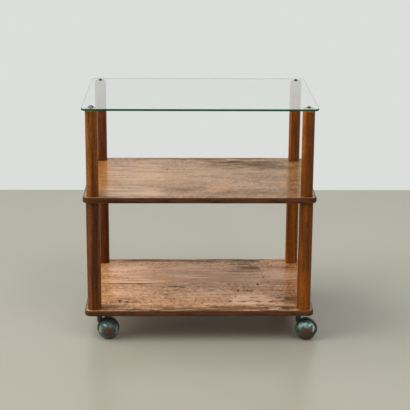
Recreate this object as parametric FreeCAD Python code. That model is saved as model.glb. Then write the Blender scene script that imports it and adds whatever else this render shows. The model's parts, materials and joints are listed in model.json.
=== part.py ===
import FreeCAD, Part
import math
import os

Vec = FreeCAD.Vector
UP = Vec(0, 0, 1)

# Lengths are in millimetres. The floor is z = 0, +X runs along the long side and the
# front edge faces -Y. The origin is on the floor below the middle of the trolley.

# Timber shelves
shelf_length = 698.0
shelf_depth = 510.0
shelf_thickness = 17.0
shelf_corner_radius = 20.0
shelf_edge_round = 5.0

# Clear glass top, a little smaller than the shelves all round
glass_setback = 1.0
glass_thickness = 6.0
glass_corner_radius = 18.0
glass_edge_round = 1.0

# Turned timber posts in two stages, with their axes measured in from the shelf edges
post_inset_side = 29.5
post_inset_front = 31.0
upper_post_diameter = 37.0
upper_post_length = 261.0
lower_post_diameter = 42.0
lower_post_length = 340.0
post_top_round = 4.0
post_foot_round = 1.0

# Studs that join the two stages through the middle shelf
stud_diameter = 8.0
stud_depth_in_post = 30.0

# Screws from below the lower shelf into the lower posts
post_screw_diameter = 6.0
post_screw_head_diameter = 11.0
post_screw_length = 56.0

# Screws that hold the glass down, each in a flanged bush, with a pad under the glass
glass_screw_diameter = 5.0
glass_screw_head_diameter = 9.5
glass_screw_head_height = 2.6
glass_screw_depth_in_post = 40.0
bush_wall = 1.5
bush_flange_diameter = 12.0
bush_flange_thickness = 1.0
pad_diameter = 27.0
pad_thickness = 1.5

# Domed cap over the front left screw
cap_diameter = 17.0
cap_height = 5.2
cap_wall = 1.0

# Casters: overall height, place and trail of the ball behind the swivel axis
caster_height = 84.5
caster_inset_side = 43.5
caster_inset_front = 41.5
caster_trail = 26.0

# How far each caster stands turned about its stem, in degrees; at 0 its dome faces -Y
caster_turn = {
    "front_left": 6.0,
    "front_right": -13.0,
    "rear_left": 172.0,
    "rear_right": 190.0,
}

# Caster plate with the collar that the stem turns in
plate_diameter = 52.0
plate_thickness = 3.0
collar_diameter = 17.0
collar_length = 9.0
plate_screw_diameter = 3.5
plate_screw_head_diameter = 7.0
plate_screw_length = 13.0
plate_screw_circle = 38.0
plate_screw_count = 4

# Caster stem
stem_diameter = 9.5
stem_head_diameter = 14.0
stem_head_height = 2.0
stem_foot_wall = 2.8

# Caster wheel, its tread and its dome, along the axle towards the dome
wheel_diameter = 64.0
tread_width = 10.0
tread_depth = 2.3
tread_crown = 0.6
tread_start = 2.5
rim_depth = 3.2
web_thickness = 6.0
hub_diameter = 18.0
hub_start = -2.0
dome_diameter = 60.5
dome_height = 20.0
dome_wall = 1.5

# Caster hood, a ball shell that is cut open in front and below
hood_radius = 34.2
hood_wall = 1.4
hood_lift = 1.5
hood_setback = 0.0
hood_front = 5.0
hood_cut_front_height = -4.0
hood_cut_slope_degrees = 37.0
neck_diameter = 16.0
neck_foot_rise = 24.0
axle_boss_diameter = 16.0
axle_boss_gap = 0.5

# Caster axle
axle_diameter = 8.0
axle_head_diameter = 13.0
axle_head_height = 2.0
axle_tail_wall = 4.0

# Clearances
hole_clearance = 0.05
glass_hole_clearance = 0.15
running_clearance = 0.05
end_gap = 0.3
slot_width = 1.2
slot_depth = 1.0

# How far a cutting shape runs past the face that it cuts, and how near two heights
# are to count as one
overrun = 1.0
same_height = 0.01

# Heights of the stack, from the floor up
lower_shelf_bottom = caster_height
lower_shelf_top = lower_shelf_bottom + shelf_thickness
mid_shelf_bottom = lower_shelf_top + lower_post_length
mid_shelf_top = mid_shelf_bottom + shelf_thickness
upper_post_top = mid_shelf_top + upper_post_length
glass_bottom = upper_post_top + pad_thickness
glass_top_height = glass_bottom + glass_thickness

# Places of the posts and casters
post_x = shelf_length / 2 - post_inset_side
post_y = shelf_depth / 2 - post_inset_front
caster_x = shelf_length / 2 - caster_inset_side
caster_y = shelf_depth / 2 - caster_inset_front
CORNERS = {
    "front_left": (-1, -1),
    "front_right": (1, -1),
    "rear_left": (-1, 1),
    "rear_right": (1, 1),
}

# Radii that mating pieces share
screw_hole_radius = glass_screw_diameter / 2 + hole_clearance
bush_radius = screw_hole_radius + bush_wall
stud_hole_radius = stud_diameter / 2 + hole_clearance
stem_radius = stem_diameter / 2
axle_radius = axle_diameter / 2
wheel_radius = wheel_diameter / 2
rim_radius = wheel_radius - tread_depth
tread_end = tread_start + tread_width
cavity_radius = hood_radius - hood_wall
hood_centre = Vec(caster_trail, hood_setback, wheel_radius + hood_lift)
axle_start = hood_centre.y + cavity_radius - axle_tail_wall


def save(name, shape):
    """Writes one node's shape."""
    shape.exportStep("parts/" + name + ".step")


def rod(radius, low, high, x=0.0, y=0.0):
    """Upright cylinder between two heights."""
    return Part.makeCylinder(radius, high - low, Vec(x, y, low))


def spun(edges, centre, direction):
    """Solid made by turning a closed outline once about an axis."""
    face = Part.Face(Part.Wire(Part.__sortEdges__(edges)))
    return face.revolve(centre, direction, 360)


def outline(points):
    """Straight edges through points, closed back to the first."""
    ends = points[1:] + points[:1]
    return [Part.makeLine(a, b) for a, b in zip(points, ends)]


def rounded_slab(length, depth, thickness, corner_radius, edge_round, bottom):
    """Flat board with rounded plan corners and softened edges."""
    slab = Part.makeBox(length, depth, thickness, Vec(-length / 2, -depth / 2, bottom))
    upright = [e for e in slab.Edges if abs(e.tangentAt(e.FirstParameter).z) > 0.9]
    slab = slab.makeFillet(corner_radius, upright)
    level = [e for e in slab.Edges if abs(e.tangentAt(e.FirstParameter).z) < 0.1]
    return slab.makeFillet(edge_round, level)


def turned_post(diameter, bottom, top):
    """Round post with its two ends rounded over."""
    post = rod(diameter / 2, bottom, top)
    for height, radius in ((top, post_top_round), (bottom, post_foot_round)):
        rim = [e for e in post.Edges if e.Closed and abs(e.CenterOfMass.z - height) < same_height]
        post = post.makeFillet(radius, rim)
    return post


def countersunk_screw(diameter, head_diameter, length):
    """Screw that points up, with its flat head at z = 0."""
    radius = diameter / 2
    head_radius = head_diameter / 2
    head_height = head_radius - radius
    points = [
        Vec(0, 0, 0),
        Vec(head_radius, 0, 0),
        Vec(radius, 0, head_height),
        Vec(radius, 0, length - diameter),
        Vec(0, 0, length),
    ]
    screw = spun(outline(points), Vec(0, 0, 0), UP)
    slot = Part.makeBox(head_diameter, slot_width, slot_depth, Vec(-head_radius, -slot_width / 2, 0))
    return screw.cut(slot)


def countersunk_hole(diameter, head_diameter, depth):
    """Space for a countersunk screw that points up from z = 0."""
    radius = diameter / 2 + hole_clearance
    head_radius = head_diameter / 2 + hole_clearance
    points = [
        Vec(0, 0, 0),
        Vec(head_radius, 0, 0),
        Vec(radius, 0, head_radius - radius),
        Vec(radius, 0, depth),
        Vec(0, 0, depth),
    ]
    return spun(outline(points), Vec(0, 0, 0), UP)


# ---- Glass and what holds it ----

def make_glass():
    length = shelf_length - 2 * glass_setback
    depth = shelf_depth - 2 * glass_setback
    glass = rounded_slab(
        length, depth, glass_thickness, glass_corner_radius, glass_edge_round, glass_bottom
    )
    hole_radius = bush_radius + glass_hole_clearance
    for side, front in CORNERS.values():
        hole = rod(
            hole_radius, glass_bottom - overrun, glass_top_height + overrun,
            side * post_x, front * post_y,
        )
        glass = glass.cut(hole)
    return glass


def make_glass_pad():
    """Soft washer between a post and the glass."""
    pad = rod(pad_diameter / 2, upper_post_top, glass_bottom)
    bore = rod(screw_hole_radius, upper_post_top - overrun, glass_bottom + overrun)
    return pad.cut(bore)


def make_screw_bush():
    """Flanged bush that lines the hole in the glass."""
    flange_top = glass_top_height + bush_flange_thickness
    sleeve = rod(bush_radius, glass_bottom, glass_top_height)
    flange = rod(bush_flange_diameter / 2, glass_top_height, flange_top)
    bore = rod(screw_hole_radius, glass_bottom - overrun, flange_top + overrun)
    return sleeve.fuse(flange).removeSplitter().cut(bore)


def make_glass_screw():
    """Round-headed screw that points down through the glass into a post."""
    seat = glass_top_height + bush_flange_thickness
    top = seat + glass_screw_head_height
    radius = glass_screw_diameter / 2
    head_radius = glass_screw_head_diameter / 2
    tip = upper_post_top - glass_screw_depth_in_post
    crown = (head_radius ** 2 + glass_screw_head_height ** 2) / (2 * glass_screw_head_height)
    middle_radius = head_radius / 2
    middle = Vec(middle_radius, 0, top - crown + math.sqrt(crown ** 2 - middle_radius ** 2))
    points = [
        Vec(0, 0, top),
        Vec(0, 0, tip),
        Vec(radius, 0, tip + glass_screw_diameter),
        Vec(radius, 0, seat),
        Vec(head_radius, 0, seat),
    ]
    edges = [Part.makeLine(a, b) for a, b in zip(points, points[1:])]
    edges.append(Part.Arc(points[-1], middle, points[0]).toShape())
    screw = spun(edges, Vec(0, 0, 0), UP)
    slot = Part.makeBox(
        glass_screw_head_diameter, slot_width, slot_depth,
        Vec(-head_radius, -slot_width / 2, top - slot_depth),
    )
    return screw.cut(slot)


def make_dome_cap():
    """Hollow domed cap that stands on the glass over a screw."""
    base_radius = cap_diameter / 2
    outer = (base_radius ** 2 + cap_height ** 2) / (2 * cap_height)
    centre = Vec(0, 0, glass_top_height + cap_height - outer)
    shell = Part.makeSphere(outer, centre).cut(Part.makeSphere(outer - cap_wall, centre))
    return shell.common(rod(cap_diameter, glass_top_height, glass_top_height + cap_diameter))


# ---- Timber ----

def make_upper_post():
    post = turned_post(upper_post_diameter, mid_shelf_top, upper_post_top)
    screw_hole_bottom = upper_post_top - glass_screw_depth_in_post - end_gap
    screw_hole = rod(screw_hole_radius, screw_hole_bottom, upper_post_top + overrun)
    stud_hole_top = mid_shelf_top + stud_depth_in_post + end_gap
    stud_hole = rod(stud_hole_radius, mid_shelf_top - overrun, stud_hole_top)
    return post.cut(screw_hole).cut(stud_hole)


def make_lower_post():
    post = turned_post(lower_post_diameter, lower_shelf_top, mid_shelf_bottom)
    stud_hole_bottom = mid_shelf_bottom - stud_depth_in_post - end_gap
    stud_hole = rod(stud_hole_radius, stud_hole_bottom, mid_shelf_bottom + overrun)
    screw_hole_top = lower_shelf_bottom + post_screw_length + end_gap
    post_screw_hole_radius = post_screw_diameter / 2 + hole_clearance
    screw_hole = rod(post_screw_hole_radius, lower_shelf_top - overrun, screw_hole_top)
    return post.cut(stud_hole).cut(screw_hole)


def make_stud():
    """Plain stud that runs from a lower post through the middle shelf into an upper post."""
    return rod(
        stud_diameter / 2, mid_shelf_bottom - stud_depth_in_post, mid_shelf_top + stud_depth_in_post
    )


def make_shelf(bottom):
    return rounded_slab(
        shelf_length, shelf_depth, shelf_thickness, shelf_corner_radius, shelf_edge_round, bottom
    )


def make_mid_shelf():
    shelf = make_shelf(mid_shelf_bottom)
    for side, front in CORNERS.values():
        hole = rod(
            stud_hole_radius, mid_shelf_bottom - overrun, mid_shelf_top + overrun,
            side * post_x, front * post_y,
        )
        shelf = shelf.cut(hole)
    return shelf


def plate_screw_circle_places():
    """Centres of a caster plate's screws about the middle of the plate."""
    radius = plate_screw_circle / 2
    turns = [2 * math.pi * index / plate_screw_count for index in range(plate_screw_count)]
    return [(radius * math.cos(turn), radius * math.sin(turn)) for turn in turns]


def plate_screw_places(side, front):
    """Centres of one corner's plate screws."""
    middle_x = side * caster_x
    middle_y = front * caster_y
    return [(middle_x + x, middle_y + y) for x, y in plate_screw_circle_places()]


def make_lower_shelf():
    shelf = make_shelf(lower_shelf_bottom)
    pilot_radius = plate_screw_diameter / 2 + hole_clearance
    pilot_top = lower_shelf_bottom - plate_thickness + plate_screw_length + end_gap
    for side, front in CORNERS.values():
        hole = countersunk_hole(
            post_screw_diameter, post_screw_head_diameter, shelf_thickness + overrun
        )
        hole.translate(Vec(side * post_x, front * post_y, lower_shelf_bottom))
        shelf = shelf.cut(hole)
        for x, y in plate_screw_places(side, front):
            shelf = shelf.cut(rod(pilot_radius, lower_shelf_bottom - overrun, pilot_top, x, y))
    return shelf


def make_lower_post_screws():
    screws = []
    for side, front in CORNERS.values():
        screw = countersunk_screw(post_screw_diameter, post_screw_head_diameter, post_screw_length)
        screw.translate(Vec(side * post_x, front * post_y, lower_shelf_bottom))
        screws.append(screw)
    return Part.makeCompound(screws)


# ---- Casters, each drawn with its swivel axis on z and its dome towards -Y ----

def axle_rod(radius, start, end):
    """Cylinder about the axle; distances along the axle grow towards the dome."""
    return Part.makeCylinder(radius, end - start, Vec(caster_trail, -start, wheel_radius), Vec(0, -1, 0))


def axle_point(radius, along):
    """Point of an outline that is turned about the axle."""
    return Vec(caster_trail, -along, wheel_radius + radius)


def turned_on_axle(edges):
    return spun(edges, Vec(caster_trail, 0, wheel_radius), Vec(0, 1, 0))


def make_caster_plate():
    """Round plate with a collar below, bored for the stem and recessed for its head."""
    plate_bottom = caster_height - plate_thickness
    collar_bottom = plate_bottom - collar_length
    plate = rod(plate_diameter / 2, plate_bottom, caster_height)
    plate = plate.fuse(rod(collar_diameter / 2, collar_bottom, plate_bottom)).removeSplitter()
    bore_radius = stem_radius + running_clearance
    plate = plate.cut(rod(bore_radius, collar_bottom - overrun, caster_height + overrun))
    recess_radius = stem_head_diameter / 2 + end_gap
    recess_bottom = caster_height - stem_head_height - 2 * end_gap
    plate = plate.cut(rod(recess_radius, recess_bottom, caster_height + overrun))
    for x, y in plate_screw_circle_places():
        hole = countersunk_hole(
            plate_screw_diameter, plate_screw_head_diameter, plate_thickness + overrun
        )
        hole.translate(Vec(x, y, plate_bottom))
        plate = plate.cut(hole)
    return plate


def make_caster_plate_screws():
    screws = []
    for side, front in CORNERS.values():
        for x, y in plate_screw_places(side, front):
            screw = countersunk_screw(plate_screw_diameter, plate_screw_head_diameter, plate_screw_length)
            screw.translate(Vec(x, y, caster_height - plate_thickness))
            screws.append(screw)
    return Part.makeCompound(screws)


def neck_top():
    """Height of the hood's neck, just below the plate's collar."""
    return caster_height - plate_thickness - collar_length - end_gap


def stem_foot():
    """Height of the stem's lower end, above the hollow of the hood."""
    reach = caster_trail - stem_radius
    return hood_centre.z + math.sqrt(cavity_radius ** 2 - reach ** 2) + stem_foot_wall


def make_caster_stem():
    """Stem with a flat head, held in the hood's neck and free to turn in the collar."""
    head_top = caster_height - end_gap
    head_bottom = head_top - stem_head_height
    shank = rod(stem_radius, stem_foot(), head_bottom)
    head = rod(stem_head_diameter / 2, head_bottom, head_top)
    return shank.fuse(head).removeSplitter()


def make_caster_hood():
    """Ball shell over the back and top of the wheel, with its neck and the axle's boss."""
    neck_radius = neck_diameter / 2
    hollow = Part.makeSphere(cavity_radius, hood_centre)
    ball = Part.makeSphere(hood_radius, hood_centre)
    neck_foot = hood_centre.z + neck_foot_rise
    neck = rod(neck_radius, neck_foot, neck_top())
    neck = neck.fuse(Part.makeSphere(neck_radius, Vec(0, 0, neck_foot), UP, -90, 0))
    shell = ball.fuse(neck).cut(hollow)
    stem_hole = rod(stem_radius + hole_clearance, stem_foot() - end_gap, neck_top() + overrun)
    shell = shell.cut(stem_hole)

    # Everything in front of the skirt's edge and below the slanted lower edge is open.
    size = 4 * hood_radius
    front_block = Part.makeBox(
        size, size, size, Vec(caster_trail - size / 2, -hood_front - size, wheel_radius - size / 2)
    )
    low_block = Part.makeBox(size, size, size, Vec(-size / 2, -size / 2, -size))
    low_block.rotate(Vec(0, 0, 0), Vec(1, 0, 0), -hood_cut_slope_degrees)
    low_block.translate(Vec(caster_trail, -hood_front, wheel_radius + hood_cut_front_height))
    shell = shell.cut(front_block.cut(neck)).cut(low_block)

    boss = axle_rod(axle_boss_diameter / 2, -2 * hood_radius, hub_start - axle_boss_gap).common(ball)
    hood = shell.fuse(boss).removeSplitter()
    return hood.cut(axle_rod(axle_radius + hole_clearance, -axle_start - end_gap, hood_front))


def make_caster_axle():
    """Pin held in the hood's boss, with a head in front of the wheel."""
    head_start = tread_end + end_gap
    pin = axle_rod(axle_radius, -axle_start, head_start)
    head = axle_rod(axle_head_diameter / 2, head_start, head_start + axle_head_height)
    return pin.fuse(head).removeSplitter()


def make_caster_wheel():
    """Wheel body: hub, web and rim."""
    hub_radius = hub_diameter / 2
    bore_radius = axle_radius + running_clearance
    rim_inside = rim_radius - rim_depth
    web_end = tread_end
    web_start = web_end - web_thickness
    points = [
        axle_point(bore_radius, hub_start),
        axle_point(hub_radius, hub_start),
        axle_point(hub_radius, web_start),
        axle_point(rim_inside, web_start),
        axle_point(rim_inside, tread_start),
        axle_point(rim_radius, tread_start),
        axle_point(rim_radius, tread_end),
        axle_point(bore_radius, tread_end),
    ]
    return turned_on_axle(outline(points))


def make_caster_tread():
    """Crowned band round the wheel."""
    edge_radius = wheel_radius - tread_crown
    middle = (tread_start + tread_end) / 2
    inner_back = axle_point(rim_radius, tread_start)
    outer_back = axle_point(edge_radius, tread_start)
    crown = axle_point(wheel_radius, middle)
    outer_front = axle_point(edge_radius, tread_end)
    inner_front = axle_point(rim_radius, tread_end)
    edges = [
        Part.makeLine(inner_back, outer_back),
        Part.Arc(outer_back, crown, outer_front).toShape(),
        Part.makeLine(outer_front, inner_front),
        Part.makeLine(inner_front, inner_back),
    ]
    return turned_on_axle(edges)


def make_caster_dome():
    """Thin dome seated on the front of the wheel."""
    base_radius = dome_diameter / 2
    outer = (base_radius ** 2 + dome_height ** 2) / (2 * dome_height)
    centre = Vec(caster_trail, -(tread_end + dome_height - outer), wheel_radius)
    shell = Part.makeSphere(outer, centre).cut(Part.makeSphere(outer - dome_wall, centre))
    return shell.common(axle_rod(dome_diameter, tread_end, tread_end + dome_diameter))


def placed(shape, x, y, turn=0.0):
    """Copy of a piece, turned about z and then moved to a place."""
    piece = shape.copy()
    piece.rotate(Vec(0, 0, 0), UP, turn)
    piece.translate(Vec(x, y, 0))
    return piece


def main():
    save("glass_top", make_glass())
    save("mid_shelf", make_mid_shelf())
    save("lower_shelf", make_lower_shelf())
    save("lower_post_screws", make_lower_post_screws())
    save("caster_plate_screws", make_caster_plate_screws())
    save("dome_cap_front_left", placed(make_dome_cap(), -post_x, -post_y))

    post_pieces = {
        "glass_pad": make_glass_pad(),
        "screw_bush": make_screw_bush(),
        "glass_screw": make_glass_screw(),
        "upper_post": make_upper_post(),
        "post_stud": make_stud(),
        "lower_post": make_lower_post(),
    }
    plate = make_caster_plate()
    swivelling_pieces = {
        "caster_stem": make_caster_stem(),
        "caster_hood": make_caster_hood(),
        "caster_axle": make_caster_axle(),
        "caster_wheel": make_caster_wheel(),
        "caster_tread": make_caster_tread(),
        "caster_dome": make_caster_dome(),
    }
    for corner, (side, front) in CORNERS.items():
        for name, shape in post_pieces.items():
            save(name + "_" + corner, placed(shape, side * post_x, front * post_y))
        x = side * caster_x
        y = front * caster_y
        save("caster_plate_" + corner, placed(plate, x, y))
        for name, shape in swivelling_pieces.items():
            save(name + "_" + corner, placed(shape, x, y, caster_turn[corner]))


main()
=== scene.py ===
"""Dessert trolley: the finishes, floor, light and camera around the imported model.

Lengths are metres in the model's frame: +X along the trolley, -Y to its front, +Z up.
Pattern sizes are given in millimetres of the real surface.
"""
import json
import math

import bmesh
import bpy
from mathutils import Matrix, Vector


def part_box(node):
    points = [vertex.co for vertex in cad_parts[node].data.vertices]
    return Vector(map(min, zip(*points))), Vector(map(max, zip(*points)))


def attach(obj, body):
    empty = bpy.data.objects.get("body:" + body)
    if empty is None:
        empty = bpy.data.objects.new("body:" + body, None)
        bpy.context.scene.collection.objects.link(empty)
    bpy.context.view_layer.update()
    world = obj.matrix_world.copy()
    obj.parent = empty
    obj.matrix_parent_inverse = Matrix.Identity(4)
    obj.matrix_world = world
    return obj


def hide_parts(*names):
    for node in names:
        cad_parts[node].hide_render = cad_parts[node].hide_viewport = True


MM = 0.001
CORNERS = ("front_left", "front_right", "rear_left", "rear_right")

# the shelves' corner radius, and how far in from the edge the painted shade on their rounded edge
# starts and is full
SHELF_CORNER = 20 * MM
EDGE_SHADE_START = 8 * MM
EDGE_SHADE_FULL = 1.5 * MM

# on the glass, a face whose normal's height is FLAT or more is top or underside, and an
# upright face no further than HOLE_REACH from a bush lines its hole
FLAT = 0.99
HOLE_REACH = 12 * MM
CREASE = math.radians(30)

# the hood is grey within the first distance from the point its wheel spins about, and
# darkened past the second, a painted shade on its neck
NECK_SHADE_START = 34.5 * MM
NECK_SHADE_FULL = 37 * MM

# where a Mix node in colour mode has its two colours and its result
MIX_UNDER = 6
MIX_OVER = 7
MIX_RESULT = 2


def tint(code):
    """The linear colour of an sRGB hex code."""
    parts = [int(code[i : i + 2], 16) / 255 for i in (1, 3, 5)]
    return [p / 12.92 if p <= 0.04045 else ((p + 0.055) / 1.055) ** 2.4 for p in parts] + [1.0]


def put(tree, kind, inputs=None, **settings):
    """Adds a node. An input is a value or the output that feeds it; settings are its own."""
    node = tree.nodes.new(kind)
    for name, value in settings.items():
        setattr(node, name, value)
    for socket, value in (inputs or {}).items():
        if isinstance(value, bpy.types.NodeSocket):
            tree.links.new(value, node.inputs[socket])
        else:
            node.inputs[socket].default_value = value
    return node


def start(name):
    """A new material, its tree and the place of each point in the trolley's frame."""
    material = bpy.data.materials.new(name)
    material.use_nodes = True
    tree = material.node_tree
    tree.nodes.clear()
    place = put(tree, "ShaderNodeTexCoord").outputs["Object"]
    return material, tree, place


def cells(tree, place, size, low, high, detail, warp=0.0):
    """Noise with cells of size mm along x, y and z, from 0 below low to 1 above high."""
    scale = [1 / (s * MM) for s in size]
    spread = put(tree, "ShaderNodeMapping", {"Vector": place, "Scale": scale})
    noise = put(
        tree,
        "ShaderNodeTexNoise",
        {"Vector": spread.outputs[0], "Scale": 1.0, "Detail": detail, "Distortion": warp},
    )
    level = {"Value": noise.outputs[0], "From Min": low, "From Max": high}
    return put(tree, "ShaderNodeMapRange", level, interpolation_type="SMOOTHSTEP").outputs[0]


def ragged(tree, place, size, reach):
    """The place shifted by up to reach mm in blots of size mm, which gives uneven edges."""
    scale = [1 / (s * MM) for s in size]
    spread = put(tree, "ShaderNodeMapping", {"Vector": place, "Scale": scale})
    noise = put(
        tree,
        "ShaderNodeTexNoise",
        {"Vector": spread.outputs[0], "Scale": 1.0, "Detail": 3.0},
    )
    push = put(
        tree,
        "ShaderNodeVectorMath",
        {0: noise.outputs["Color"], 1: (0.5, 0.5, 0.5)},
        operation="SUBTRACT",
    ).outputs[0]
    steps = [2 * r * MM for r in reach]
    return put(
        tree,
        "ShaderNodeVectorMath",
        {0: push, 1: steps, 2: place},
        operation="MULTIPLY_ADD",
    ).outputs[0]


def patches(tree, place, marks):
    """Soft oval marks, each (x, y, half length, half width, strength) in mm, as one mask."""
    total = 0.0
    for x, y, long, wide, strength in marks:
        local = put(
            tree,
            "ShaderNodeMapping",
            {
                "Vector": place,
                "Location": (-x / long, -y / wide, 0),
                "Scale": (1e3 / long, 1e3 / wide, 0),
            },
        )
        reach = put(
            tree,
            "ShaderNodeVectorMath",
            {0: local.outputs[0]},
            operation="LENGTH",
        ).outputs["Value"]
        fade = {"Value": reach, "From Min": 1.15, "From Max": 0.55, "To Max": strength}
        mark = put(tree, "ShaderNodeMapRange", fade, interpolation_type="SMOOTHSTEP").outputs[0]
        total = put(tree, "ShaderNodeMath", {0: total, 1: mark}, operation="MAXIMUM").outputs[0]
    return total


def paint(tree, base, *coats):
    """Lays each (mask, colour) over the base in turn."""
    for mask, colour in coats:
        layers = {0: mask, MIX_UNDER: base, MIX_OVER: colour}
        base = put(tree, "ShaderNodeMix", layers, data_type="RGBA").outputs[MIX_RESULT]
    return base


def product(tree, *masks):
    """The masks multiplied together."""
    total = masks[0]
    for mask in masks[1:]:
        total = put(tree, "ShaderNodeMath", {0: total, 1: mask}, operation="MULTIPLY").outputs[0]
    return total


def finish_with(material, tree, inputs):
    """Ends a material in a Principled shader with these inputs."""
    shader = put(tree, "ShaderNodeBsdfPrincipled", inputs)
    put(tree, "ShaderNodeOutputMaterial", {"Surface": shader.outputs[0]})
    return material


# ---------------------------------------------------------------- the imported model

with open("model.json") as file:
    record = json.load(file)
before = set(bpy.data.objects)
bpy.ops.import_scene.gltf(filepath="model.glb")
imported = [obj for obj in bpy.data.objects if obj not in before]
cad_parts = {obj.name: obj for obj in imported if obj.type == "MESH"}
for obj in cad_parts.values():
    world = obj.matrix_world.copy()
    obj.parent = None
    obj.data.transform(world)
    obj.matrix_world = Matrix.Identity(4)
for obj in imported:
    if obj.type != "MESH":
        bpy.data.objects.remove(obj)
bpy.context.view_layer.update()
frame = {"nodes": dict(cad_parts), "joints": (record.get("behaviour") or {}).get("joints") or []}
nodes = frame["nodes"]

# ---------------------------------------------------------------- timber


# the mask of the painted shade along a board's rounded edge
def edge_shade_mask(tree, place, board):
    """1 along the edge of a board and 0 inside it, measured round its rounded corners."""
    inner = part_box(board)[1] - Vector((SHELF_CORNER, SHELF_CORNER, 0))
    out = put(tree, "ShaderNodeVectorMath", {0: place}, operation="ABSOLUTE").outputs[0]
    out = put(
        tree,
        "ShaderNodeVectorMath",
        {0: out, 1: (inner.x, inner.y, 1)},
        operation="SUBTRACT",
    ).outputs[0]
    out = put(
        tree,
        "ShaderNodeVectorMath",
        {0: out, 1: (0, 0, 0)},
        operation="MAXIMUM",
    ).outputs[0]
    out = put(tree, "ShaderNodeVectorMath", {0: out}, operation="LENGTH").outputs["Value"]
    fade = {
        "Value": out,
        "From Min": SHELF_CORNER - EDGE_SHADE_START,
        "From Max": SHELF_CORNER - EDGE_SHADE_FULL,
    }
    return put(tree, "ShaderNodeMapRange", fade, interpolation_type="SMOOTHSTEP").outputs[0]


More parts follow.
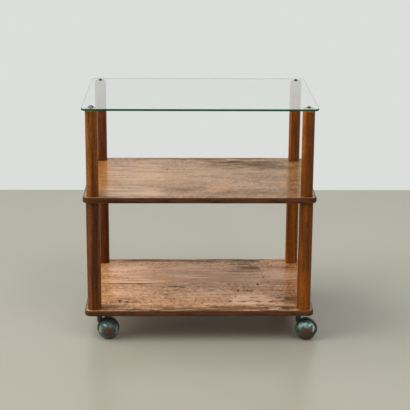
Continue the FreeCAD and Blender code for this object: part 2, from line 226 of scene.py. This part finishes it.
def shelf_timber(name, board, tones, lacquer, wear, marks):
    """Hardwood board under old brown lacquer: grain along X, rubbed thin on top, dirt in its grain.

    tones are the wood's middle, dark, light and rubbed colours, lacquer is how much gloss coat
    is left on top, and wear is how strongly its surface is speckled by use.
    """
    middle, dark, light, bare = tones
    material, tree, place = start(name)
    figure = cells(tree, place, (230, 34, 34), 0.38, 0.64, 5, 1.2)
    ribbon = cells(tree, place, (300, 70, 70), 0.42, 0.6, 4, 1.0)
    streak = cells(tree, place, (90, 14, 14), 0.5, 0.62, 4, 0.6)
    clouds = cells(tree, place, (34, 46, 46), 0.44, 0.6, 3)
    # specks of wear 2 to 3 mm wide, drawn 7 to 14 mm across to show
    dark_specks = cells(tree, place, (7, 12, 12), 0.48, 0.66, 3)
    pale_specks = cells(tree, place, (12, 14, 14), 0.47, 0.64, 3)
    fibre = cells(tree, place, (60, 1.8, 1.8), 0.3, 0.7, 2)
    # real pores are 0.3 mm wide, drawn 1 mm wide to show
    pores = cells(tree, place, (16, 1.0, 1.0), 0.62, 0.74, 1)
    brown = paint(
        tree,
        tint(middle),
        (product(tree, figure, 0.7), tint(dark)),
        (product(tree, ribbon, 0.7), tint(light)),
        (product(tree, streak, 0.55), tint(dark)),
        (product(tree, clouds, 0.4), tint(dark)),
        (product(tree, pale_specks, wear, 0.8), tint(bare)),
        (product(tree, dark_specks, wear), tint("#633A18")),
        (product(tree, fibre, 0.2), tint("#5A3519")),
        (product(tree, pores, 0.4), tint("#3C2413")),
    )
    normal = put(tree, "ShaderNodeNewGeometry").outputs["Normal"]
    rise = put(tree, "ShaderNodeSeparateXYZ", {0: normal}).outputs[2]
    upward = {"Value": rise, "From Min": 0.8, "From Max": 0.98}
    top = put(tree, "ShaderNodeMapRange", upward).outputs[0]
    downward = {"Value": rise, "From Min": 0.5, "From Max": -0.5}
    under = put(tree, "ShaderNodeMapRange", downward).outputs[0]
    edge_shade = edge_shade_mask(tree, place, board)
    # where the edge turns downward its painted shade is lifted in blots to a mid brown, a painted
    # highlight on the lower lip
    rubbed = product(tree, edge_shade, under, cells(tree, place, (60, 60, 7), 0.4, 0.6, 4))
    uneven = ragged(tree, place, (70, 30, 30), (90, 24, 0))
    worn = product(
        tree,
        patches(tree, uneven, marks["worn"]),
        cells(tree, place, (120, 16, 16), 0.25, 0.62, 4),
        top,
    )
    haze = product(tree, cells(tree, place, (200, 60, 60), 0.42, 0.64, 4), top)
    # a grey-brown coat in patches, and long bands that darken the tops towards the boards' edges
    film_and_edge_bands = product(
        tree,
        patches(tree, uneven, marks["film_and_edge_bands"]),
        cells(tree, place, (70, 16, 16), 0.35, 0.6, 4),
        top,
    )
    # dark marks of dirt, and round the rear right post's foot a painted shade
    grime_and_foot_shade = product(
        tree,
        patches(tree, uneven, marks["grime_and_foot_shade"]),
        cells(tree, place, (80, 14, 14), 0.43, 0.59, 4),
        top,
    )
    # dirt in the open grain, in rows of dashes about 2 mm wide, drawn 13 mm wide to show
    rows = cells(tree, place, (2000, 26, 26), 0.47, 0.55, 0)
    dashes = cells(tree, place, (18, 13, 13), 0.46, 0.56, 1)
    dirt = product(tree, patches(tree, uneven, marks["dirt"]), rows, dashes, top)
    line = ragged(tree, place, (60, 60, 60), (0, 2.5, 0))
    splits = product(tree, patches(tree, line, marks["splits"]), top)
    # golden patches: partly the wood's own colour, partly a painted reflection of the left posts in
    # the lacquer
    honey_and_post_reflection = product(
        tree,
        patches(tree, uneven, marks["honey_and_post_reflection"]),
        cells(tree, place, (90, 24, 24), 0.3, 0.55, 3),
        top,
    )
    colour = paint(
        tree,
        brown,
        (product(tree, haze, 0.25), tint("#A47A4A")),
        (worn, tint(bare)),
        # golden, partly a painted reflection of the posts
        (product(tree, honey_and_post_reflection, 0.7), tint("#B8772A")),
        (product(tree, film_and_edge_bands, 0.8), tint("#5E4526")),
        # painted shade: the rounded edge darkened all round, on top, face and underside
        (product(tree, edge_shade, 0.95), tint("#3F2010")),
        # painted highlight on the edge's lower lip
        (product(tree, rubbed, 0.8), tint("#7A482A")),
        (grime_and_foot_shade, tint("#3E2B1B")),
        (product(tree, dirt, 0.9), tint("#40291B")),
        (splits, tint("#1E120A")),
    )
    # soiled lacquer is rougher and has lost most of its gloss
    dull = product(tree, dark_specks, wear)
    for soiled in (grime_and_foot_shade, dirt, splits, film_and_edge_bands):
        dull = put(tree, "ShaderNodeMath", {0: dull, 1: soiled}, operation="MAXIMUM").outputs[0]
    roughening = {"Value": dull, "To Min": 0.38, "To Max": 0.6}
    rough = put(tree, "ShaderNodeMapRange", roughening).outputs[0]
    fading = {"Value": dull, "To Min": lacquer, "To Max": lacquer * 0.1}
    gloss = put(tree, "ShaderNodeMapRange", fading).outputs[0]
    relief = product(tree, fibre, 0.5)
    for sunk in (pores, product(tree, dirt, 0.6)):
        relief = put(
            tree,
            "ShaderNodeMath",
            {0: relief, 1: sunk},
            operation="SUBTRACT",
        ).outputs[0]
    bump = put(
        tree,
        "ShaderNodeBump",
        {"Strength": 0.25, "Distance": 0.15 * MM, "Height": relief},
    )
    inputs = {
        "Base Color": colour,
        "Roughness": rough,
        "Specular IOR Level": 0.1,
        "Coat Weight": product(tree, gloss, top),
        "Coat Roughness": 0.15,
        "Coat IOR": 1.5,
        "Normal": bump.outputs[0],
    }
    return finish_with(material, tree, inputs)


def post_timber(name, light, middle, dark):
    """Turned hardwood post under glossy brown lacquer: grain along Z, dark flecks in the grain."""
    material, tree, place = start(name)
    figure = cells(tree, place, (13, 13, 300), 0.38, 0.62, 5, 0.9)
    band = cells(tree, place, (24, 24, 700), 0.42, 0.6, 2, 0.4)
    drift = cells(tree, place, (50, 50, 80), 0.38, 0.62, 3)
    # the flecks are drawn 3 mm wide to show
    flecks = cells(tree, place, (3, 3, 9), 0.5, 0.64, 3)
    colour = paint(
        tree,
        tint(middle),
        (figure, tint(dark)),
        (product(tree, band, 0.75), tint(light)),
        (product(tree, drift, 0.4), tint(dark)),
        (product(tree, flecks, 0.55), tint("#2C190B")),
    )
    roughening = {"Value": flecks, "To Min": 0.2, "To Max": 0.34}
    bump = put(
        tree,
        "ShaderNodeBump",
        {"Strength": 0.2, "Distance": 0.12 * MM, "Height": figure},
    )
    inputs = {
        "Base Color": colour,
        "Roughness": put(tree, "ShaderNodeMapRange", roughening).outputs[0],
        "Specular IOR Level": 0.14,
        "Normal": bump.outputs[0],
    }
    return finish_with(material, tree, inputs)


# marks on each shelf's top, (x, y, half length, half width, strength) in mm
middle_marks = {
    "worn": [
        (-40, 0, 330, 240, 0.2),
        (-210, -180, 120, 80, 1.0),
        (-200, 50, 110, 170, 0.6),
        (60, 20, 120, 60, 0.3),
    ],
    "honey_and_post_reflection": [
        # this strip below the left posts is a painted reflection of them
        (-310, 20, 40, 230, 0.8),
        (-98, 14, 60, 34, 0.5),
        (70, -150, 60, 34, 0.6),
        (-200, 165, 60, 16, 0.5),
    ],
    "film_and_edge_bands": [
        # a long band darkening the top towards the back edge
        (40, 234, 300, 22, 1.0),
        (180, 150, 200, 80, 1.0),
        (190, 20, 150, 80, 0.4),
        (160, -200, 150, 50, 0.6),
        (-45, -150, 95, 36, 0.7),
        (20, -90, 90, 30, 0.4),
        (-258, -238, 46, 8, 0.5),
    ],
    "grime_and_foot_shade": [
        (70, 202, 80, 11, 0.8),
        (170, 190, 120, 16, 0.8),
        (200, 130, 84, 24, 0.9),
        (222, 100, 50, 12, 1.0),
        (60, 160, 50, 8, 0.5),
        (-205, 172, 44, 6, 0.7),
        (-258, -238, 46, 8, 0.6),
        (-40, -243, 130, 9, 0.6),
        (-230, -128, 40, 6, 0.5),
        # painted shade round the foot of the rear right post
        (310, 205, 40, 30, 0.9),
        (-180, 226, 80, 8, 0.6),
    ],
    "dirt": [
        (200, 160, 120, 60, 0.7),
        (60, 200, 120, 20, 0.6),
        (120, -180, 240, 60, 0.3),
    ],
    "splits": [(-100, 93, 4, 7, 1.0)],
}
lower_marks = {
    "worn": [
        (-190, 26, 170, 26, 0.8),
        (-220, 130, 90, 80, 0.7),
        (-220, -70, 80, 50, 0.5),
        (40, 60, 260, 110, 0.5),
        (0, 100, 130, 100, 0.7),
        (20, -90, 84, 46, 0.6),
        (150, -150, 70, 60, 0.9),
        (240, -180, 40, 40, 0.5),
        (270, 80, 50, 60, 0.6),
    ],
    "honey_and_post_reflection": [
        # this strip below the left posts is a painted reflection of them
        (-305, -20, 30, 100, 0.4),
        (-200, 22, 140, 14, 0.5),
        (-130, 100, 120, 30, 0.3),
        (0, 60, 200, 90, 0.7),
    ],
    "film_and_edge_bands": [
        (158, 172, 50, 46, 1.0),
        (230, 190, 60, 30, 0.5),
        (260, 20, 60, 50, 0.35),
        # a long band darkening the top towards the back edge
        (0, 240, 330, 22, 1.0),
        (-78, -118, 14, 46, 0.7),
        (290, -170, 50, 70, 0.8),
        (0, -232, 330, 28, 1.0),
        (230, -222, 80, 40, 1.0),
        (-290, -222, 60, 44, 1.0),
    ],
    "grime_and_foot_shade": [
        (157, 126, 84, 12, 0.6),
        (158, 176, 52, 40, 0.5),
        (276, 166, 42, 8, 1.0),
        (150, 230, 110, 14, 1.0),
        (-236, -229, 72, 20, 1.0),
        (276, -238, 56, 14, 0.9),
        (240, -220, 60, 30, 0.9),
        (-60, -244, 120, 9, 0.9),
        (180, -246, 150, 8, 0.9),
        (-68, -34, 22, 12, 0.9),
        (-10, -20, 60, 8, 0.6),
        (276, -70, 26, 8, 0.9),
        (290, -130, 30, 34, 0.5),
        (-200, 246, 110, 7, 0.7),
    ],
    "dirt": [
        (-245, -175, 66, 36, 1.0),
        (-40, -200, 70, 10, 0.8),
        (240, -56, 80, 26, 0.6),
        (246, -129, 80, 14, 0.8),
        (210, -167, 90, 12, 0.9),
        (232, -222, 90, 22, 1.0),
        (50, -203, 50, 12, 0.9),
        (128, -226, 50, 12, 0.9),
        (60, -60, 240, 90, 0.5),
        (-200, -60, 120, 60, 0.4),
    ],
    "splits": [
        (-219, -1, 95, 5, 0.9),
        (191, -8, 5, 9, 1.0),
        (127, -66, 4, 7, 0.9),
        (156, -66, 4, 7, 0.8),
        (115, -122, 4, 7, 0.8),
        (97, -165, 6, 7, 0.9),
        (214, 64, 5, 7, 0.8),
    ],
}
nodes["mid_shelf"].material_slots[0].material = shelf_timber(
    "lacquered_shelf_middle",
    "mid_shelf",
    tones=("#8C541E", "#5A3411", "#A66E34", "#B8906C"),
    lacquer=0.7,
    wear=0.5,
    marks=middle_marks,
)
# the lower board's tones are far paler than the middle one's: partly its own worn wood, partly
# painted light lifting the shade under the middle shelf
nodes["lower_shelf"].material_slots[0].material = shelf_timber(
    "lacquered_shelf_lower",
    "lower_shelf",
    tones=("#DC9A5A", "#B6753E", "#ECB47C", "#EEBE98"),
    lacquer=0.42,
    wear=0.55,
    marks=lower_marks,
)

# the light, middle and dark tones of each post, set apart partly as the timber differs and partly
# as painted light and shade; the left posts are the browner ones
post_tones_and_painted_light = {
    "upper_post_front_left": ("#A4611D", "#834816", "#5A310E"),
    "upper_post_front_right": ("#AC5E14", "#89460F", "#60310B"),
    "upper_post_rear_left": ("#9E592C", "#80401C", "#582B12"),
    "upper_post_rear_right": ("#A2581E", "#824315", "#5A2D0E"),
    "lower_post_front_left": ("#92521E", "#6E3A15", "#4A250E"),
    "lower_post_front_right": ("#AC5F12", "#88480E", "#5E300A"),
    "lower_post_rear_left": ("#A65620", "#844014", "#5C2C0D"),
    "lower_post_rear_right": ("#C67218", "#9E5510", "#6C3A0B"),
}
for post, tones in post_tones_and_painted_light.items():
    nodes[post].material_slots[0].material = post_timber(f"lacquered_{post}", *tones)

# ---------------------------------------------------------------- glass


def clear_glass():
    """Float glass, polished: clear, all but colourless, with a bright mirror at a low angle."""
    material, tree, _ = start("float_glass")
    shader = put(
        tree,
        "ShaderNodeBsdfPrincipled",
        {
            "Base Color": tint("#F6FCF8"),
            "Roughness": 0.0,
            "IOR": 1.5,
            "Transmission Weight": 1.0,
            "Coat Weight": 1.0,
            "Coat Roughness": 0.03,
            "Coat IOR": 1.5,
        },
    )
    # light for the shelves passes straight through, so the pane hardly shades them
    through = put(tree, "ShaderNodeBsdfTransparent", {"Color": tint("#F1F7F3")})
    shadow = put(tree, "ShaderNodeLightPath").outputs["Is Shadow Ray"]
    seen = put(
        tree,
        "ShaderNodeMixShader",
        {0: shadow, 1: shader.outputs[0], 2: through.outputs[0]},
    )
    put(tree, "ShaderNodeOutputMaterial", {"Surface": seen.outputs[0]})
    return material


def green_edge():
    """The ground and polished edge of float glass, deep green from the glass behind it."""
    material, tree, place = start("float_glass_edge")
    drift = cells(tree, place, (60, 60, 4), 0.3, 0.7, 2)
    inputs = {
        "Base Color": paint(tree, tint("#04402A"), (drift, tint("#0B6242"))),
        "Roughness": 0.2,
        "Specular IOR Level": 0.03,
    }
    return finish_with(material, tree, inputs)


def glass_pane():
    """The glass top's own mesh, merged, with its outer edge given its own finish."""
    source = nodes["glass_top"]
    mesh = bpy.data.meshes.new("glass_pane")
    pane = bmesh.new()
    pane.from_mesh(source.data)
    bmesh.ops.remove_doubles(pane, verts=pane.verts, dist=1e-6)
    pane.normal_update()
    holes = []
    for corner in CORNERS:
        low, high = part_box(f"screw_bush_{corner}")
        holes.append(((low + high) / 2).xy)
    for face in pane.faces:
        upright = abs(face.normal.z) < FLAT
        spot = face.calc_center_median().xy
        nearest = min((spot - hole).length for hole in holes)
        face.material_index = int(upright and nearest > HOLE_REACH)
        face.smooth = upright
    for edge in pane.edges:
        curved = all(face.smooth for face in edge.link_faces)
        edge.smooth = curved and edge.calc_face_angle(0.0) < CREASE
    pane.to_mesh(mesh)
    pane.free()
    piece = bpy.data.objects.new("glass_pane", mesh)
    bpy.context.scene.collection.objects.link(piece)
    mesh.materials.append(clear_glass())
    mesh.materials.append(green_edge())
    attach(piece, "trolley")
    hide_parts("glass_top")


glass_pane()

# ---------------------------------------------------------------- metal and rubber


def polished_plate():
    """Plated cap, polished: a small grey mirror with faint wear."""
    material, tree, place = start("polished_plate")
    wear = cells(tree, place, (3, 3, 3), 0.4, 0.7, 3)
    roughening = {"Value": wear, "To Min": 0.08, "To Max": 0.22}
    inputs = {
        "Base Color": paint(tree, tint("#68666E"), (product(tree, wear, 0.5), tint("#44434A"))),
        "Metallic": 1.0,
        "Roughness": put(tree, "ShaderNodeMapRange", roughening).outputs[0],
    }
    return finish_with(material, tree, inputs)


def metal(name, clean, tarnish, rough, blot):
    """A handled metal: its clean colour broken by tarnish, which is rougher, in blots in mm."""
    material, tree, place = start(name)
    blots = cells(tree, place, (blot, blot, blot), 0.38, 0.64, 4)
    smoothest, roughest = rough
    roughening = {"Value": blots, "To Min": smoothest, "To Max": roughest}
    pits = cells(tree, place, (1.2, 1.2, 1.2), 0.3, 0.7, 2)
    bump = put(
        tree,
        "ShaderNodeBump",
        {"Strength": 0.15, "Distance": 0.1 * MM, "Height": pits},
    )
    inputs = {
        "Base Color": paint(tree, tint(clean), (blots, tint(tarnish))),
        "Metallic": 1.0,
        "Roughness": put(tree, "ShaderNodeMapRange", roughening).outputs[0],
        "Normal": bump.outputs[0],
    }
    return finish_with(material, tree, inputs)


def hood_iron(name, joint):
    """Pressed iron hood, blackened, its ball rubbed grey, with brown rust bloom; its neck darker as
    painted shade.
    """
    material, tree, place = start(name)
    bloom = cells(tree, place, (7, 7, 7), 0.42, 0.6, 5)
    rub = cells(tree, place, (14, 14, 6), 0.44, 0.62, 4)
    reach = put(
        tree,
        "ShaderNodeVectorMath",
        {0: place, 1: joint["pos_m"]},
        operation="DISTANCE",
    ).outputs["Value"]
    fade = {"Value": reach, "From Min": NECK_SHADE_FULL, "From Max": NECK_SHADE_START}
    ball = put(tree, "ShaderNodeMapRange", fade, interpolation_type="SMOOTHSTEP").outputs[0]
    # painted shade: the neck kept near-black, the ball a lighter grey
    colour = paint(
        tree,
        tint("#35342E"),
        (ball, tint("#56554E")),
        (product(tree, ball, rub, 0.4), tint("#6A6961")),
        (product(tree, bloom, 0.35), tint("#423930")),
    )
    roughening = {"Value": bloom, "To Min": 0.32, "To Max": 0.5}
    pits = cells(tree, place, (1.0, 1.0, 1.0), 0.3, 0.7, 3)
    bump = put(
        tree,
        "ShaderNodeBump",
        {"Strength": 0.12, "Distance": 0.2 * MM, "Height": pits},
    )
    inputs = {
        "Base Color": colour,
        "Metallic": 0.4,
        "Roughness": put(tree, "ShaderNodeMapRange", roughening).outputs[0],
        "Normal": bump.outputs[0],
    }
    return finish_with(material, tree, inputs)


def rubber(name, clean, dusty):
    """Hard rubber: matt, with grey floor dust."""
    material, tree, place = start(name)
    dust = cells(tree, place, (5, 5, 5), 0.4, 0.7, 4)
    pits = cells(tree, place, (0.8, 0.8, 0.8), 0.3, 0.7, 2)
    bump = put(
        tree,
        "ShaderNodeBump",
        {"Strength": 0.3, "Distance": 0.1 * MM, "Height": pits},
    )
    inputs = {
        "Base Color": paint(tree, tint(clean), (product(tree, dust, 0.6), tint(dusty))),
        "Roughness": 0.62,
        "Normal": bump.outputs[0],
    }
    return finish_with(material, tree, inputs)


def dome_brass(name, joint, bare, pale, blots):
    """Brass dome: rubbed brown in the middle, blue-green verdigris round it.

    bare, pale and blots are marks on the dome's face, in mm to the right of its middle and up; some
    pale marks are painted highlights.
    """
    material, tree, place = start(name)
    across, along, _ = joint["axis"]
    turned = put(
        tree,
        "ShaderNodeVectorMath",
        {0: place, 1: joint["pos_m"]},
        operation="SUBTRACT",
    ).outputs[0]
    # turned to face along its axle, then tipped so that right and up on the face are x and y
    for turn in ((0, 0, math.atan2(across, along)), (-math.pi / 2, 0, 0)):
        turned = put(
            tree,
            "ShaderNodeMapping",
            {"Vector": turned, "Rotation": turn},
        ).outputs[0]
    face = ragged(tree, turned, (7, 7, 7), (7, 7, 0))
    centre = patches(tree, face, bare)
    crust = put(tree, "ShaderNodeMath", {0: 1.0, 1: centre}, operation="SUBTRACT").outputs[0]
    green = cells(tree, place, (16, 16, 16), 0.4, 0.6, 2)
    flakes = cells(tree, place, (4, 4, 4), 0.42, 0.62, 4)
    colour = paint(
        tree,
        tint("#5A4230"),
        (product(tree, flakes, 0.6), tint("#3A2E22")),
        (product(tree, crust, 0.95), tint("#3E5C66")),
        (product(tree, crust, green), tint("#4A6E60")),
        # pale verdigris, some marks of it painted highlights
        (product(tree, crust, patches(tree, face, pale)), tint("#A8CEC2")),
        (product(tree, crust, flakes, 0.35), tint("#2B4146")),
        (patches(tree, face, blots), tint("#22282A")),
    )
    roughening = {"Value": crust, "To Min": 0.36, "To Max": 0.46}
    dulling = {"Value": crust, "To Min": 0.45, "To Max": 0.1}
    bump = put(
        tree,
        "ShaderNodeBump",
        {"Strength": 0.25, "Distance": 0.2 * MM, "Height": flakes},
    )
    inputs = {
        "Base Color": colour,
        "Metallic": put(tree, "ShaderNodeMapRange", dulling).outputs[0],
        "Roughness": put(tree, "ShaderNodeMapRange", roughening).outputs[0],
        "Normal": bump.outputs[0],
    }
    return finish_with(material, tree, inputs)


# marks on each dome's face, (right, up, half length, half width, strength) in mm
dome_marks = {
    "front_left": {
        "bare": [(-1, -3, 25, 21, 1.0), (4, -22, 14, 6, 0.5)],
        "pale": [
            # this mark and the one at (24, -9) are painted highlights
            (-12, 17, 6, 4, 0.9),
            (-25, 2, 4, 12, 0.6),
            (25, 2, 4, 10, 0.5),
            (24, -9, 4, 4, 0.8),
            (-4, 24, 5, 3, 0.5),
        ],
        "blots": [(13, 20, 4, 3, 0.6), (18, -2, 4, 4, 0.5)],
    },
    "front_right": {
        "bare": [
            (0, 0, 21, 21, 1.0),
            (14, -12, 26, 18, 1.0),
            (-6, -22, 28, 12, 1.0),
            (16, 6, 9, 14, 0.9),
        ],
        "pale": [
            (-4, 22, 12, 5, 1.0),
            (-14, 14, 9, 8, 0.9),
            (17, 21, 7, 5, 1.0),
            (25, 8, 4, 12, 1.0),
            (2, 14, 8, 5, 0.5),
        ],
        "blots": [(-21, -1, 5, 5, 1.0), (-7, 13, 4, 3, 0.9)],
    },
    "rear_left": {
        "bare": [(0, 0, 22, 20, 1.0), (-12, 10, 12, 10, 0.8), (0, -24, 16, 6, 0.7)],
        "pale": [(14, 18, 9, 5, 0.9), (-24, -4, 4, 10, 0.6), (24, 2, 4, 9, 0.6)],
        "blots": [(8, 24, 4, 3, 0.7)],
    },
    "rear_right": {
        "bare": [(0, 0, 21, 21, 1.0), (12, -14, 18, 12, 0.9)],
        "pale": [(-10, 20, 11, 5, 0.9), (-22, 6, 5, 9, 0.8), (22, 12, 5, 8, 0.6)],
        "blots": [(-16, -12, 5, 4, 0.8)],
    },
}
joints = {joint["name"]: joint for joint in frame["joints"]}

cap_plate = polished_plate()
# brass gone brown: a dull yellow ring round each screw
bush_brass = metal("dull_brass", "#A88C52", "#6E5632", rough=(0.28, 0.5), blot=3)
# steel screws, blacked: near-black heads with a soft shine
screw_black = metal("darkened_steel_screw", "#3A3632", "#241F1B", rough=(0.35, 0.6), blot=2)
# plain steel: warm grey, satin
plain_steel = metal("plain_steel", "#8E8B86", "#5C5650", rough=(0.3, 0.5), blot=6)
# iron: dark grey and dull, browned in blots
wheel_iron = metal("dull_wheel_iron", "#4A4843", "#352D26", rough=(0.4, 0.65), blot=8)
plate_iron = metal("blackened_plate_iron", "#4A4943", "#352D26", rough=(0.4, 0.65), blot=8)
# near-black rubber, greyed by dust
tread = rubber("hard_rubber_tread", "#302E2A", "#6A665C")
pad = rubber("dark_rubber_pad", "#2A2622", "#4A453E")
nodes["dome_cap_front_left"].material_slots[0].material = cap_plate
nodes["lower_post_screws"].material_slots[0].material = plain_steel
nodes["caster_plate_screws"].material_slots[0].material = plain_steel
for corner in CORNERS:
    joint = joints[f"wheel_spin_{corner}"]
    finishes = {
        "glass_pad": pad,
        "screw_bush": bush_brass,
        "glass_screw": screw_black,
        "post_stud": plain_steel,
        "caster_plate": plate_iron,
        "caster_stem": plain_steel,
        "caster_hood": hood_iron(f"blackened_hood_iron_{corner}", joint),
        "caster_axle": plain_steel,
        "caster_wheel": wheel_iron,
        "caster_tread": tread,
        "caster_dome": dome_brass(f"patinated_dome_{corner}", joint, **dome_marks[corner]),
    }
    for part, finish in finishes.items():
        nodes[f"{part}_{corner}"].material_slots[0].material = finish

# ---------------------------------------------------------------- floor, light and camera


def pale_floor():
    """A plain pale floor, sealed, that ends where the wall begins behind the trolley."""
    half_length, half_depth = 4.0, 3.0
    wall_line = 1.53
    grid = bmesh.new()
    bmesh.ops.create_grid(grid, x_segments=1, y_segments=1, size=1.0)
    bmesh.ops.scale(grid, vec=(half_length, half_depth, 1.0), verts=grid.verts)
    bmesh.ops.translate(grid, vec=(0, wall_line - half_depth, 0), verts=grid.verts)
    mesh = bpy.data.meshes.new("floor")
    grid.to_mesh(mesh)
    grid.free()
    floor = bpy.data.objects.new("floor", mesh)
    bpy.context.scene.collection.objects.link(floor)
    material, tree, place = start("sealed_pale_floor")
    mottle = cells(tree, place, (600, 600, 600), 0.3, 0.7, 2)
    inputs = {
        "Base Color": paint(tree, tint("#A5A294"), (product(tree, mottle, 0.5), tint("#A09D8E"))),
        "Roughness": 0.3,
        "IOR": 1.45,
    }
    mesh.materials.append(finish_with(material, tree, inputs))


def pale_wall_world():
    """Soft light, fullest from above and from a wide window on the left.

    The eye, gloss and glass see the wall's plain colour instead.
    """
    world = bpy.data.worlds.new("studio")
    bpy.context.scene.world = world
    world.use_nodes = True
    tree = world.node_tree
    tree.nodes.clear()
    ray = put(tree, "ShaderNodeLightPath")
    seen = ray.outputs["Is Camera Ray"]
    for way in ("Is Glossy Ray", "Is Transmission Ray"):
        seen = put(
            tree,
            "ShaderNodeMath",
            {0: seen, 1: ray.outputs[way]},
            operation="MAXIMUM",
        ).outputs[0]
    wall = put(tree, "ShaderNodeBackground", {"Color": tint("#DCDEDB"), "Strength": 1.0})
    heading = put(tree, "ShaderNodeTexCoord").outputs["Generated"]
    height = put(tree, "ShaderNodeSeparateXYZ", {0: heading}).outputs[2]
    # from 0.2 at and below the horizon to 0.5 straight above
    rising = {"Value": height, "To Min": 0.2, "To Max": 0.5}
    above = put(tree, "ShaderNodeMapRange", rising).outputs[0]
    # the window is full within 18 degrees of its middle and gone past 53 degrees
    window_middle = Vector((-1.0, 0.05, 0.4)).normalized()
    along = put(
        tree,
        "ShaderNodeVectorMath",
        {0: heading, 1: window_middle},
        operation="DOT_PRODUCT",
    ).outputs["Value"]
    span = {"Value": along, "From Min": 0.6, "From Max": 0.95, "To Max": 2.4}
    window = put(tree, "ShaderNodeMapRange", span, interpolation_type="SMOOTHSTEP").outputs[0]
    power = put(tree, "ShaderNodeMath", {0: above, 1: window}, operation="ADD").outputs[0]
    fill = put(tree, "ShaderNodeBackground", {"Color": tint("#FFFFFF"), "Strength": power})
    mixed = put(tree, "ShaderNodeMixShader", {0: seen, 1: fill.outputs[0], 2: wall.outputs[0]})
    put(tree, "ShaderNodeOutputWorld", {"Surface": mixed.outputs[0]})


def softbox(name, place, aim, size, power):
    """A square white studio lamp at place, turned to aim."""
    lamp = bpy.data.lights.new(name, "AREA")
    lamp.shape = "SQUARE"
    lamp.size = size
    lamp.energy = power
    holder = bpy.data.objects.new(name, lamp)
    bpy.context.scene.collection.objects.link(holder)
    holder.location = place
    holder.rotation_euler = (Vector(aim) - Vector(place)).to_track_quat("-Z", "Y").to_euler()


def photo_camera():
    """The camera, set by matching the glass, shelf edges, posts and casters in the picture."""
    spot = (-0.0562, -3.861, 1.4622)
    pitch, yaw, roll = 0.2767, 0.0198, 0.006
    focal_pixels = 1263.4
    picture_pixels = 410
    sensor_mm = 36.0
    ahead = Vector(
        (math.sin(yaw) * math.cos(pitch), math.cos(yaw) * math.cos(pitch), -math.sin(pitch))
    )
    level = Vector((math.cos(yaw), -math.sin(yaw), 0))
    raised = level.cross(ahead)
    right = math.cos(roll) * level + math.sin(roll) * raised
    up = -math.sin(roll) * level + math.cos(roll) * raised
    data = bpy.data.cameras.new("camera")
    data.sensor_width = sensor_mm
    data.lens = focal_pixels / picture_pixels * sensor_mm
    data.clip_start = 0.05
    data.clip_end = 50
    camera = bpy.data.objects.new("camera", data)
    bpy.context.scene.collection.objects.link(camera)
    turn = Matrix((right, up, -ahead)).transposed().to_4x4()
    camera.matrix_world = Matrix.Translation(spot) @ turn
    bpy.context.scene.camera = camera


pale_floor()
pale_wall_world()
# the lamps stand steeply above, where no shelf mirrors them to a low view
softbox("key", place=(-1.8, -0.9, 3.4), aim=(0, 0, 0.4), size=1.8, power=50)
softbox("fill", place=(1.6, -2.6, 3.8), aim=(0, 0, 0.4), size=2.0, power=60)
photo_camera()
bpy.context.scene.view_settings.view_transform = "Standard"
